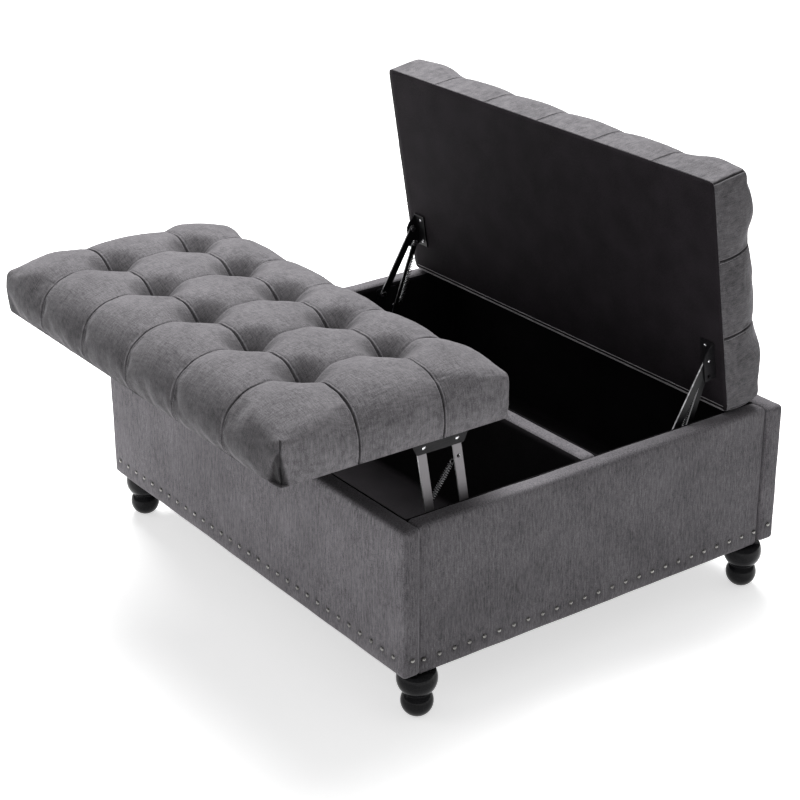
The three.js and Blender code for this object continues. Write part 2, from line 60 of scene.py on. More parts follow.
# Seat pads, measured up from the flat underside.
COLUMNS = 6
TRAY_ROWS = (0.325, 0.69)  # the row seams, as shares of the depth from the front edge
LID_ROWS = (1 / 3, 2 / 3)
PAD_WALL = 0.088  # height of the side walls on the unrounded box that a pad starts from
PAD_PROFILE = {"start": 0.034, "rise": 0.083, "reach": 0.115, "power": 3.0}  # a superellipse, wall to crown
PAD_CORNER = {"rise": 0.051, "power": 12.0, "reach": 0.140}  # the same near the corners, which are boxier
PAD_CORNER_POWER = 20.0  # the squareness of a pad's corners in plan
PAD_BULGE = {"depth": 0.0100, "low": 0.24, "high": 0.40}  # it grows to one share of the height, then fades
FACING_BULGE = 0.05  # share of the bulge on the side that meets the other pad
END_BULGE = 0.45  # share of it on the ends
CORNER_BULGE = {"loss": 0.75, "reach": 0.050}  # it dies away beside the pad's upright corners
FACING_RUMPLE = 0.2  # share of the rumples there
EDGE_BLEND = 0.035
PAD_FREE_INSET = 0.0008  # of the bottom edge from the pad's nominal side
PAD_FACING_INSET = 0.0015
PAD_LIFT = 0.0012  # of a pad's underside off its board
TUFT = {"depth": 0.043, "reach": 0.061, "power": 1.5, "roundness": 1.5}
# The tuft shade is painted shade, darkening the pits towards black.
TUFT_SHADE = {"strength": 1.0, "reach": 0.062}
SEAM_PULL = {"top": 0.0070, "shoulder": 0.0075, "bottom": 0.0006, "reach": 0.06, "power": 0.8}
SEAM_SHARPNESS = 0.6  # below 1, so that each cell is a pillow with creases round it
SEAM_STEPS = (0.0, 0.0045, 0.009, 0.018, 0.032, 0.049, 0.066)  # mesh lines beside each seam
SEAM_GROOVE = {"depth": 0.0032, "width": 0.0019}
COLUMN_SEAM = {"top": 0.12, "wall": 0.75, "start": 0.09, "blend": 0.06}  # a fold on top, sewn on the walls
TOP_STITCH = {"offset": 0.0060, "depth": 0.0012, "width": 0.0013, "pitch": 0.0065}
# A seam ridge's light is a painted highlight along it.
SEAM_RIDGE = {"offset": 0.0036, "height": 0.0010, "width": 0.0013, "light": 0.40}
# The corner line's shade and the pleat's fold are painted shade as well.
CORNER_LINE = {"depth": 0.0028, "width": 0.0025, "shade": 0.8, "shade_width": 0.0022}
CORNER_TUCK = {"depth": 0.007, "front": 0.036, "end": 0.018, "height": 0.072, "blend": 0.005}  # a pleat
RUMPLES = ((0.028, 3, 0.0010), (0.085, 5, 0.0016))  # size, seed and depth
PAD_PAINTED_LIGHT = {"tray": (0.12, -0.42), "lid": (-0.32, -0.10)}  # painted light and shade: how much lighter the ends and sides are drawn, for how the light falls on them
# The same painted light and shade for the panels, then how far in from a pad's side it reaches.
PANEL_PAINTED_LIGHT = (-0.24, 0.18)
PAINTED_LIGHT_REACH = 0.07
CLOTH = {"frames": 16, "cap": 0.005, "end_cap": 0.002, "facing_cap": 0.0003}
CLOTH_SETTINGS = {
    "tension_stiffness": 12,
    "compression_stiffness": 12,
    "shear_stiffness": 6,
    "bending_stiffness": 0.4,
    "vertex_group_mass": "held",
    "shrink_min": -0.02,
    "use_pressure": True,
    "uniform_pressure_force": 3.0,
}
SEAM_HOLD = 0.75  # how firmly a seam is held, against 1 at a tuft and along the lower edge
EDGE_HOLD = 0.004  # height of that edge
UNDERLAY_INSET = 0.003
UNDERLAY_CORNER = 0.008
# Both are in a lighter copy of the pad fabric: painted light on the rolled edge, and the hem line a pale cord that
# paints the highlight along the hem's fold.
HEM_ROLL = {"radius": 0.0032, "inset": 0.0032, "rise": 0.0024}
HEM_HIGHLIGHT = {"radius": 0.0008, "inset": 0.0110, "rise": 0.0002}
HEM_END = 0.010  # how far short of the under cloth's ends the hem stops

# Panels.
PANEL_ROUND = 0.009
PANEL_PUFF = 0.0018
NAIL_PITCH = 0.0335
NAIL_HEIGHT = (0.035, 0.031)  # above the bottom edge of a front or back panel, and of an end panel
NAIL_MARGIN = (0.0302, 0.0110)  # from their ends to the first and last nail
NAIL_RADIUS = 0.0046
NAIL_DOME = 0.0034
# Painted shade round each nail's dimple.
NAIL_SHADE = {"strength": 0.60, "reach": 0.0075}

# Linings: tight over the ends, where the steel plates are screwed on.
LINING_THICKNESS = 0.0014
LINING_SLACK = {"ends": 0.0002, "sides": 0.0016}

# Screws. Their places are shares of a plate's own box, or of a flange's length.
SCREW_RADIUS = 0.0042
PLATE_THICKNESS = 0.003
FLANGE_THICKNESS = 0.0025
FLANGE_MIDDLE = 0.022  # of a flange from its outer side
PLATE_SCREWS = {
    "lift_plate": ((0.08, 0.75), (0.90, 0.14), (0.5, 0.80)),
    "hinge_plate": ((0.16, 0.12), (0.16, 0.48), (0.84, 0.58)),
}
FLANGE_SCREWS = (
    ("tray", "tray_rail", 0.0, (0.05, 0.34, 0.66, 0.95)),
    ("lid", "lid_bracket", LID_TURN, (0.16, 0.84)),
)

# Springs: where their hooks stand on the arms.
COIL = {"radius": 0.0045, "wire": 0.0008, "hook": 0.010, "per_turn": 12}
LIFT_SPRING = {"low": 0.040, "high": 0.122, "turns": 19}
HINGE_SPRING = {"low": 0.28, "high": 0.88, "turns": 26}

# Feet, on the floor at z = 0.
FOOT_BALL = {"radius": 0.030, "height": 0.0283}
FOOT_NECK = {"radius": 0.0245, "height": 0.0461}
FOOT_BULB = {"radius": 0.0375, "height": 0.075, "half": 0.037}
FOOT_TOP = 0.0915

FLOOR_HALF = 300  # far enough to reach the horizon

CAMERA_ANGLES = (53.98, 23.787, -0.108)  # azimuth from -Y, elevation and roll, in degrees
CAMERA_PLACE = (2.9258, -2.0974, 1.9588)
CAMERA_LENS = 90.59  # millimetres, on a 36 mm sensor
CAMERA_SHIFT = -0.0081
CAMERA_CLIP = 700
WORLD_LIGHT = 0.30
LIGHTS = (  # place, target, size and watts
    ("key", (-1.6, 0.9, 4.3), (0, 0, 0.3), (3.2, 3.2), 400),
    ("front", (-2.5, -4.0, 2.4), (0, -0.2, 0.3), (2.5, 2.0), 12),
)

# ---- Mesh helpers ----


def new_object(name, data):
    obj = bpy.data.objects.new(name, data)
    bpy.context.scene.collection.objects.link(obj)
    return obj


def shade_smooth(mesh, smooth=True):
    mesh.polygons.foreach_set("use_smooth", [smooth] * len(mesh.polygons))


def new_mesh(name, points, faces, smooth=True):
    mesh = bpy.data.meshes.new(name)
    mesh.from_pydata([tuple(p) for p in points], [], [tuple(f) for f in faces])
    mesh.validate()
    shade_smooth(mesh, smooth)
    return new_object(name, mesh)


def box_surface(xs, ys, zs):
    """The closed surface of a box in welded quads, with a vertex wherever the given planes cross it."""
    number = {}
    points = []

    def vertex(i, j, k):
        if (i, j, k) not in number:
            number[i, j, k] = len(points)
            points.append((xs[i], ys[j], zs[k]))
        return number[i, j, k]

    def sheet(count_a, count_b, corner, flip):
        for a in range(count_a - 1):
            for b in range(count_b - 1):
                quad = [corner(a, b), corner(a + 1, b), corner(a + 1, b + 1), corner(a, b + 1)]
                faces.append(quad[::-1] if flip else quad)

    faces = []
    nx, ny, nz = len(xs), len(ys), len(zs)
    for last in (False, True):
        k = nz - 1 if last else 0
        sheet(nx, ny, lambda i, j, k=k: vertex(i, j, k), not last)
        j = ny - 1 if last else 0
        sheet(nx, nz, lambda i, m, j=j: vertex(i, j, m), last)
        i = nx - 1 if last else 0
        sheet(ny, nz, lambda m, n, i=i: vertex(i, m, n), not last)
    return np.array(points), faces


def graded(marks, steps):
    """Coordinates between the first and last mark, crowded beside every mark."""
    out = []
    for low, high in zip(marks, marks[1:]):
        half = (high - low) / 2
        near = [s for s in steps if s < half * 0.93]
        out += [low + s for s in near] + [low + half] + [high - s for s in near[:0:-1]]
    return np.array(out + [marks[-1]])


def vectors_of(items, key):
    out = np.empty(len(items) * 3, np.float32)
    items.foreach_get(key, out)
    return out.reshape(-1, 3).astype(float)


def positions(obj):
    return vectors_of(obj.data.vertices, "co")


def normals(obj):
    return vectors_of(obj.data.vertex_normals, "vector")


def rest_of(obj):
    return vectors_of(obj.data.attributes["rest"].data, "vector")


def set_positions(obj, co):
    obj.data.vertices.foreach_set("co", np.ascontiguousarray(co, dtype=np.float32).ravel())
    obj.data.update()


def keep_rest(obj, rest):
    attribute = obj.data.attributes.new("rest", "FLOAT_VECTOR", "POINT")
    attribute.data.foreach_set("vector", np.ascontiguousarray(rest, dtype=np.float32).ravel())


def apply_modifiers(obj):
    graph = bpy.context.evaluated_depsgraph_get()
    shown = obj.evaluated_get(graph)
    mesh = bpy.data.meshes.new_from_object(shown, preserve_all_data_layers=True, depsgraph=graph)
    obj.modifiers.clear()
    obj.data = mesh


def subdivide(obj, levels):
    modifier = obj.modifiers.new("fine", "SUBSURF")
    modifier.levels = levels
    modifier.render_levels = levels
    modifier.boundary_smooth = "PRESERVE_CORNERS"
    bpy.context.view_layer.update()
    apply_modifiers(obj)


def bell(distance, width):
    return np.exp(-((distance / width) ** 2))


def ramp(x):
    """0 below 0, 1 above 1, and a smooth step between."""
    t = np.clip(x, 0, 1)
    return t * t * (3 - 2 * t)


def between(low, high, share):
    return low + (high - low) * share


def rumple(points, scale, seed):
    """Smooth noise from -1 to 1 with features about scale metres across."""
    shift = Vector((seed * 7.13, seed * 3.71, seed * 5.39))
    return np.array([noise.noise(Vector(p) / scale + shift) for p in points])


def lathe(name, profile, centre, axis="Z", sides=48):
    """A closed turned piece from (radius, height) pairs that start and end on its axis."""
    rings = [p for p in profile if p[0] > 0]
    points = [(0, 0, profile[0][1])]
    for radius, height in rings:
        for s in range(sides):
            angle = 2 * math.pi * s / sides
            points.append((radius * math.cos(angle), radius * math.sin(angle), height))
    points.append((0, 0, profile[-1][1]))
    faces = []
    for s in range(sides):
        t = (s + 1) % sides
        faces.append((0, 1 + t, 1 + s))
        for r in range(len(rings) - 1):
            a = 1 + r * sides
            b = a + sides
            faces.append((a + s, a + t, b + t, b + s))
        top = 1 + (len(rings) - 1) * sides
        faces.append((top + s, top + t, len(points) - 1))
    obj = new_mesh(name, points, faces)
    quarter_turns = {"Z": 0, "X": 1, "-X": -1}[axis]
    turn = Matrix.Rotation(quarter_turns * math.pi / 2, 4, "Y")
    obj.data.transform(Matrix.Translation(centre) @ turn)
    return obj


def join_rings(mesh, rings):
    """Quads from each ring of vertices to the next."""
    for lower, upper in zip(rings, rings[1:]):
        for s in range(len(lower)):
            t = (s + 1) % len(lower)
            mesh.faces.new((lower[s], lower[t], upper[t], upper[s]))


def object_of(name, mesh):
    data = bpy.data.meshes.new(name)
    mesh.to_mesh(data)
    mesh.free()
    return new_object(name, data)


def write_values(obj, name, values):
    attribute = obj.data.attributes.new(name, "FLOAT", "POINT")
    attribute.data.foreach_set("value", values.astype(np.float32))


def lay_painted_light(obj, ends, sides, light=0):
    """Painted light and shade: how much lighter faces that look along X, and along Y, are drawn, plus any painted
    highlight given.
    """
    lean = normals(obj) ** 2
    write_values(obj, "painted_light", light + ends * lean[:, 0] + sides * lean[:, 1])


def paint(obj, *materials):
    obj.data.materials.clear()
    for material in materials:
        obj.data.materials.append(material)


def finish_piece(obj, body, slot, *materials):
    paint(obj, *materials)
    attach(obj, body)
    return obj


# ---- Materials ----


class Nodes:
    """A short way to wire a material's nodes."""

    def __init__(self, name):
        self.material = bpy.data.materials.new(name)
        self.material.use_nodes = True
        self.tree = self.material.node_tree
        self.shader = self.tree.nodes["Principled BSDF"]
        self.coordinates = self.tree.nodes.new("ShaderNodeTexCoord").outputs

    def link(self, source, target):
        self.tree.links.new(source, target)

    def noise(self, scale, detail=2):
        """Noise with about this many features a metre, alike on all axes or given for each."""
        mapping = self.tree.nodes.new("ShaderNodeMapping")
        mapping.inputs["Scale"].default_value = scale if isinstance(scale, tuple) else (scale,) * 3
        self.link(self.coordinates["Object"], mapping.inputs["Vector"])
        texture = self.tree.nodes.new("ShaderNodeTexNoise")
        texture.inputs["Scale"].default_value = 1.0
        texture.inputs["Detail"].default_value = detail
        self.link(mapping.outputs["Vector"], texture.inputs["Vector"])
        return texture.outputs["Fac"]

    def math(self, operation, a, b=0.0):
        node = self.tree.nodes.new("ShaderNodeMath")
        node.operation = operation
        for value, socket in ((a, node.inputs[0]), (b, node.inputs[1])):
            if isinstance(value, (int, float)):
                socket.default_value = value
            else:
                self.link(value, socket)
        return node.outputs[0]

    def weigh(self, a, share_a, b, share_b):
        return self.math("ADD", self.math("MULTIPLY", a, share_a), self.math("MULTIPLY", b, share_b))

    def ramp(self, source, dark, light):
        node = self.tree.nodes.new("ShaderNodeValToRGB")
        for element, colour in zip(node.color_ramp.elements, (dark, light)):
            element.color = (*colour, 1)
        self.link(source, node.inputs["Fac"])
        return node.outputs["Color"]

    def spread(self, source, low, high, to_low, to_high):
        node = self.tree.nodes.new("ShaderNodeMapRange")
        for socket, value in zip(node.inputs[1:5], (low, high, to_low, to_high)):
            socket.default_value = value
        self.link(source, node.inputs[0])
        return node.outputs[0]

    def attribute(self, name):
        node = self.tree.nodes.new("ShaderNodeAttribute")
        node.attribute_name = name
        return node.outputs["Fac"]

    def bump(self, height, distance, strength=1.0):
        node = self.tree.nodes.new("ShaderNodeBump")
        node.inputs["Distance"].default_value = distance
        node.inputs["Strength"].default_value = strength
        self.link(height, node.inputs["Height"])
        self.link(node.outputs["Normal"], self.shader.inputs["Normal"])

    def drive(self, name, source, *span):
        """Makes a shader input follow a value."""
        self.link(self.spread(source, *span), self.shader.inputs[name])

    def base_ramp(self, source, low, high, dark, light):
        """Colours the surface from dark to light as a value goes from low to high."""
        colour = self.ramp(self.spread(source, low, high, 0, 1), dark, light)
        self.link(colour, self.shader.inputs["Base Color"])

    def set(self, **values):
        for name, value in values.items():
            self.shader.inputs[name.replace("_", " ")].default_value = value
        return self


def chenille(name, dark, light, sheen, warps):
    """Slubby woven fabric, short-piled: streaks along each warp, cross threads and soft patches, darkened towards
    black by painted shade and scaled by painted light and shade that follows which way each face turns.
    """
    n = Nodes(name)
    streaks = 0.0
    for stretch in warps:
        streaks = n.math("ADD", n.noise(stretch, 3), streaks)
    streaks = n.math("MULTIPLY", streaks, 1 / len(warps))
    thread = n.noise(800, 1)
    patches = n.noise(10, 4)
    woven = n.weigh(streaks, 0.55, thread, 0.35)
    tone = n.math("ADD", woven, n.math("MULTIPLY", patches, 0.16))
    cloth = n.ramp(n.spread(tone, 0.40, 0.66, 0, 1), dark, light)
    # Painted shade: the seam shade attribute mixes the cloth towards near black.
    mix = n.tree.nodes.new("ShaderNodeMix")
    mix.data_type = "RGBA"
    n.link(n.math("MULTIPLY", n.attribute("seam_shade"), 0.85), mix.inputs["Factor"])
    n.link(cloth, mix.inputs["A"])
    mix.inputs["B"].default_value = (0.008, 0.007, 0.008, 1)
    # Painted light and shade: the colour is scaled by which way each face turns.
    painted_light_scale = n.tree.nodes.new("ShaderNodeVectorMath")
    painted_light_scale.operation = "SCALE"
    n.link(n.math("ADD", n.attribute("painted_light"), 1.0), painted_light_scale.inputs["Scale"])
    n.link(mix.outputs["Result"], painted_light_scale.inputs[0])
    n.link(painted_light_scale.outputs["Vector"], n.shader.inputs["Base Color"])
    n.drive("Roughness", thread, 0.3, 0.7, 0.97, 0.85)
    n.bump(woven, 0.0010, 0.8)
    n.set(Sheen_Weight=sheen, Sheen_Roughness=0.35, Sheen_Tint=(0.94, 0.92, 0.96, 1))
    n.set(Specular_IOR_Level=0.2)
    return n.material


def lining_cloth(name, dark, light):
    """Thin dark non-woven cloth with a fine fleck and a faint crease."""
    n = Nodes(name)
    fleck = n.noise(620)
    crease = n.noise(14, 3)
    tone = n.weigh(fleck, 0.5, crease, 0.5)
    n.base_ramp(tone, 0.38, 0.62, dark, light)
    n.drive("Roughness", fleck, 0.3, 0.7, 0.92, 0.75)
    n.bump(tone, 0.0008, 0.5)
    n.set(Sheen_Weight=0.015, Sheen_Roughness=0.5, Specular_IOR_Level=0.10)
    return n.material


def steel(name, dark, light, roughness, metallic, brush=(40, 40, 900), gloss=0.5):
    """Strip steel with fine drawn lines, smudges and a little wear."""
    n = Nodes(name)
    lines = n.noise(brush)
    smudge = n.noise(35, 4)
    tone = n.weigh(lines, 0.5, smudge, 0.5)
    n.base_ramp(tone, 0.36, 0.64, dark, light)
    n.drive("Roughness", tone, 0.36, 0.64, roughness + 0.08, roughness - 0.06)
    n.bump(lines, 0.0002, 0.25)
    n.set(Metallic=metallic, Specular_IOR_Level=gloss)
    return n.material


def edge_worn_and_highlit(name, face, edge, roughness):
    """Black strip steel lying in a YZ plane, with bright bare metal on its narrow edges: partly wear, partly a
    painted highlight along them.
    """
    n = Nodes(name)
    split = n.tree.nodes.new("ShaderNodeSeparateXYZ")
    n.link(n.coordinates["Normal"], split.inputs["Vector"])
    worn = n.spread(n.noise(90, 3), 0.35, 0.60, 0.35, 1.0)
    narrow = n.spread(n.math("ABSOLUTE", split.outputs["X"]), 0.45, 0.75, 1.0, 0.0)
    # Bright bare metal on the narrow edges: partly wear, partly a painted highlight.
    bright_edge_mask = n.math("MULTIPLY", narrow, worn)
    n.link(n.ramp(bright_edge_mask, face, edge), n.shader.inputs["Base Color"])
    n.drive("Roughness", bright_edge_mask, 0, 1, roughness, roughness - 0.12)
    n.drive("Metallic", bright_edge_mask, 0, 1, 0.3, 1.0)
    n.bump(n.noise((500, 500, 40)), 0.0002, 0.25)
    n.set(Specular_IOR_Level=0.3)
    return n.material


def gloss_black(name):
    """Black lacquer over turned wood: deep gloss, a little orange peel and faint dust."""
    n = Nodes(name)
    peel = n.noise(260, 1)
    dust = n.noise(900, 0)
    n.base_ramp(dust, 0.55, 0.8, (0.006, 0.006, 0.007), (0.018, 0.018, 0.019))
    n.drive("Roughness", peel, 0.3, 0.7, 0.08, 0.15)
    n.bump(peel, 0.0002, 0.15)
    n.set(Specular_IOR_Level=0.12)
    return n.material


def plywood(name):
    """Plain board with long grain."""
    n = Nodes(name)
    grain = n.noise((12, 240, 240), 4)
    n.base_ramp(grain, 0.35, 0.65, (0.30, 0.19, 0.10), (0.52, 0.37, 0.22))
    n.drive("Roughness", grain, 0.3, 0.7, 0.8, 0.6)
    n.bump(grain, 0.0004, 0.4)
    return n.material


def paper_white(name):
    """White paper lit from behind as well, as a product photographer's sweep is."""
    n = Nodes(name)
    n.link(n.ramp(n.noise(3), (0.90,) * 3, (0.94,) * 3), n.shader.inputs["Base Color"])
    n.set(Roughness=0.7, Specular_IOR_Level=0.2, Emission_Color=(1, 1, 1, 1), Emission_Strength=0.62)
    return n.material


CROSS_WEAVE = ((420, 70, 70), (70, 420, 70))
UPRIGHT_WEAVE = ((420, 420, 34), (300, 300, 90))
PAD_GREYS = ((0.060, 0.057, 0.062), (0.190, 0.182, 0.192))
PANEL_GREYS = ((0.052, 0.049, 0.054), (0.200, 0.190, 0.203))
UPHOLSTERY = chenille("grey_chenille", *PAD_GREYS, 0.25, CROSS_WEAVE)
PANEL_CLOTH = chenille("grey_chenille_upright", *PANEL_GREYS, 0.25, UPRIGHT_WEAVE)
# A lighter copy of the pad fabric, painting light onto the lid's rolled edge and the hem's highlight.
LIT_PIPING = chenille("lit_grey_piping", (0.24, 0.23, 0.24), (0.40, 0.39, 0.40), 0.2, CROSS_WEAVE)
LINING = lining_cloth("black_lining", (0.0048, 0.0040, 0.0049), (0.0100, 0.0085, 0.0102))
UNDERLAY = lining_cloth("charcoal_under_cloth", (0.0125, 0.0102, 0.0125), (0.0215, 0.0178, 0.0216))
BRIGHT = edge_worn_and_highlit("zinc_strip", (0.210, 0.200, 0.210), (0.65, 0.65, 0.66), 0.45)
BLACK_ARM = edge_worn_and_highlit("black_arm_strip", (0.006, 0.006, 0.007), (0.75, 0.75, 0.77), 0.42)
# Bright steel for the bevelled edges of the black plates, partly a painted highlight.
EDGE = steel("bright_edge", (0.45, 0.45, 0.47), (0.70, 0.70, 0.72), 0.28, 1.0)
BLACK = steel("black_strip", (0.006, 0.006, 0.007), (0.015, 0.014, 0.016), 0.42, 0.1, gloss=0.16)
RIVET = steel("rivet_steel", (0.60, 0.60, 0.62), (0.86, 0.86, 0.88), 0.18, 1.0, brush=200)
SPRING = steel("spring_wire", (0.25, 0.25, 0.26), (0.45, 0.45, 0.46), 0.25, 1.0)
PEWTER_GREYS = ((0.15, 0.146, 0.14), (0.30, 0.295, 0.285))
PEWTER = steel("pewter_nail", *PEWTER_GREYS, 0.24, 1.0, brush=300)
FOOT_BLACK = gloss_black("black_lacquer")
BOARD = plywood("plain_board")


# ---- Seat pads ----


def turned_box(node, turn):
    """A CAD node's box in axes turned about +X, as its lowest and highest corners."""
    back = Matrix.Rotation(-turn, 3, "X")
    co = np.array([back @ v.co for v in frame["nodes"][node].data.vertices])
    return co.min(0), co.max(0)


class Pad:
    """The measures of one seat pad: its own axes have the origin under its middle."""

    def __init__(self, name, rows, turn, facing):
        low, high = turned_box(name + "_cushion", turn)
        under = turned_box(name + "_underside", turn)[0][2]
        self.name = name
        self.half = np.array([(high[0] - low[0]) / 2, (high[1] - low[1]) / 2])
        self.column_seams = [self.half[0] * (2 * i / COLUMNS - 1) for i in range(1, COLUMNS)]
        self.row_seams = [self.half[1] * (2 * share - 1) for share in rows]
        self.facing = facing  # -1 or 1, the side in Y that meets the other pad
        self.tucked = 1.0 if name == "tray" else 0.0  # whether the front right corner has an open pleat
        # How much painted light and shade the pad's ends and sides take.
        self.painted_light = PAD_PAINTED_LIGHT[name]
        local = Vector(((low[0] + high[0]) / 2, (low[1] + high[1]) / 2, under))
        self.matrix = Matrix.Rotation(turn, 4, "X") @ Matrix.Translation(local)

    def masks(self, rest, slack):
        """Which points are on the top, on the end walls and on the long walls."""
        x, y, z = np.abs(rest.T)
        top = z >= PAD_WALL - slack
        return top, (x >= self.half[0] - slack) & ~top, (y >= self.half[1] - slack) & ~top

    def inward(self, x, y):
        """How far a point is from the nearest side."""
        return np.minimum(self.half[0] - np.abs(x), self.half[1] - np.abs(y))

    def to_corner(self, x, y):
        """How far it is from the nearest upright corner."""
        return np.hypot(self.half[0] - np.abs(x), self.half[1] - np.abs(y))

    def away(self, coordinate, seams):
        """How far a coordinate is from the nearest of some seams."""
        return np.min([np.abs(coordinate - s) for s in seams], axis=0)

    def crease(self, away):
        """1 on a seam, falling steeply to 0 in the middle of a pillow."""
        return 1 - np.sin(math.pi / 2 * np.clip(away / (self.half[0] / COLUMNS), 0, 1)) ** SEAM_SHARPNESS


def pad_base(pad, rest):
    """A boxed pad with no tufts: a superellipse leads from the upright walls over to the crowned top."""
    x, y, z = rest.T
    hx, hy = pad.half
    start, reach = PAD_PROFILE["start"], PAD_PROFILE["reach"]
    boxy = 1 - ramp(pad.to_corner(x, y) / PAD_CORNER["reach"])
    rise = between(PAD_PROFILE["rise"], PAD_CORNER["rise"], boxy)
    power = between(PAD_PROFILE["power"], PAD_CORNER["power"], boxy)
    over_x = np.maximum(np.abs(x) - (hx - reach), 0) / reach
    over_y = np.maximum(np.abs(y) - (hy - reach), 0) / reach
    over_z = np.maximum(z - start, 0) / (PAD_WALL - start)
    plan = (over_x**PAD_CORNER_POWER + over_y**PAD_CORNER_POWER) ** (1 / PAD_CORNER_POWER)
    length = (plan**power + over_z**power) ** (1 / power)
    longest = np.maximum(np.maximum(over_x, over_y), over_z)
    scale = np.where(length > 0, longest / np.maximum(length, 1e-9), 1)
    out = np.empty_like(rest)
    out[:, 0] = np.sign(x) * (np.minimum(np.abs(x), hx - reach) + over_x * reach * scale)
    out[:, 1] = np.sign(y) * (np.minimum(np.abs(y), hy - reach) + over_y * reach * scale)
    out[:, 2] = np.minimum(z, start) + over_z * rise * scale
    return out


def pad_swell(pad, rest):
    """How far each point stands out along the surface: the walls' bulge, less the seams and tufts."""
    x, y, z = rest.T
    top, wall_x, wall_y = pad.masks(rest, 1e-6)
    bottom = z <= 1e-6
    across = pad.away(x, pad.column_seams)
    along = pad.away(y, pad.row_seams)
    column = np.where(wall_x & ~wall_y, 0, pad.crease(across))
    row = np.where(wall_y & ~wall_x, 0, pad.crease(along))
    m = TUFT["roundness"]
    radius = (across**m + along**m) ** (1 / m)
    pit = TUFT["depth"] * np.clip(1 - radius / TUFT["reach"], 0, 1) ** TUFT["power"]
    height = np.clip(z / PAD_WALL, 0, 1)
    beside = 1 - ramp(pad.inward(x, y) / SEAM_PULL["reach"])
    shoulder = between(SEAM_PULL["top"], SEAM_PULL["shoulder"], beside)
    wall_pull = between(SEAM_PULL["bottom"], SEAM_PULL["shoulder"], height ** SEAM_PULL["power"])
    pull = np.where(top, shoulder, wall_pull) * (column + row)
    fade = 1 - ramp((height - PAD_BULGE["high"]) / (1 - PAD_BULGE["high"]))
    bulge = PAD_BULGE["depth"] * ramp(height / PAD_BULGE["low"]) * fade
    facing = np.sign(y) == pad.facing
    bulge = np.where(facing & wall_y, bulge * FACING_BULGE, bulge)
    bulge = np.where(wall_x, bulge * END_BULGE, bulge)
    bulge *= 1 - CORNER_BULGE["loss"] * bell(pad.to_corner(x, y), CORNER_BULGE["reach"])
    return np.where(bottom, 0, np.where(top, -pit, bulge) - pull)


def pad_inset(pad, rest, co):
    """Draws the lower edge in from the nominal sides, and keeps the side by the other pad in line."""
    x, y, z = rest.T
    low = 1 - ramp(z / PAD_WALL)
    inset_y = np.where(pad.facing * y > 0, PAD_FACING_INSET, PAD_FREE_INSET * low)
    co[:, 0] -= co[:, 0] / pad.half[0] * PAD_FREE_INSET * low
    co[:, 1] -= co[:, 1] / pad.half[1] * inset_y
    co[:, 2] = np.where(z <= 1e-6, PAD_LIFT * ramp(pad.inward(x, y) / 0.006), co[:, 2])
    return co


def off_facing(pad, y):
    """0 on the side that meets the other pad, 1 a little way in from it."""
    return ramp((pad.half[1] - y * pad.facing) / EDGE_BLEND)


def relax(pad, obj, rest):
    """Blows the pad up a little as cloth, held at its tufts, seams and lower edge."""
    x, y, z = rest.T
    start = positions(obj)
    column = pad.away(x, pad.column_seams) < 1e-4
    row = pad.away(y, pad.row_seams) < 1e-4
    held = np.where(column | row, SEAM_HOLD, 0.0)
    held = np.where((column & row) | (z < EDGE_HOLD), 1.0, held)
    group = obj.vertex_groups.new(name="held")
    for weight in (SEAM_HOLD, 1.0):
        group.add([int(i) for i in np.nonzero(held == weight)[0]], weight, "REPLACE")
    cloth = obj.modifiers.new("cloth", "CLOTH")
    for setting, value in CLOTH_SETTINGS.items():
        setattr(cloth.settings, setting, value)
    cloth.settings.effector_weights.gravity = 0
    cloth.collision_settings.use_collision = False
    cloth.point_cache.frame_end = CLOTH["frames"]
    scene = bpy.context.scene
    for number in range(1, CLOTH["frames"] + 1):
        scene.frame_set(number)
    apply_modifiers(obj)
    scene.frame_set(1)
    moved = positions(obj) - start
    length = np.linalg.norm(moved, axis=1)
    off_end = ramp((pad.half[0] - np.abs(x)) / EDGE_BLEND)
    by_facing = between(CLOTH["facing_cap"], CLOTH["cap"], off_facing(pad, y))
    by_end = between(CLOTH["end_cap"], CLOTH["cap"], off_end)
    cap = np.minimum(by_facing, by_end)
    capped = np.minimum(length, cap) / np.maximum(length, 1e-9)
    set_positions(obj, start + moved * capped[:, None])
    obj.vertex_groups.clear()


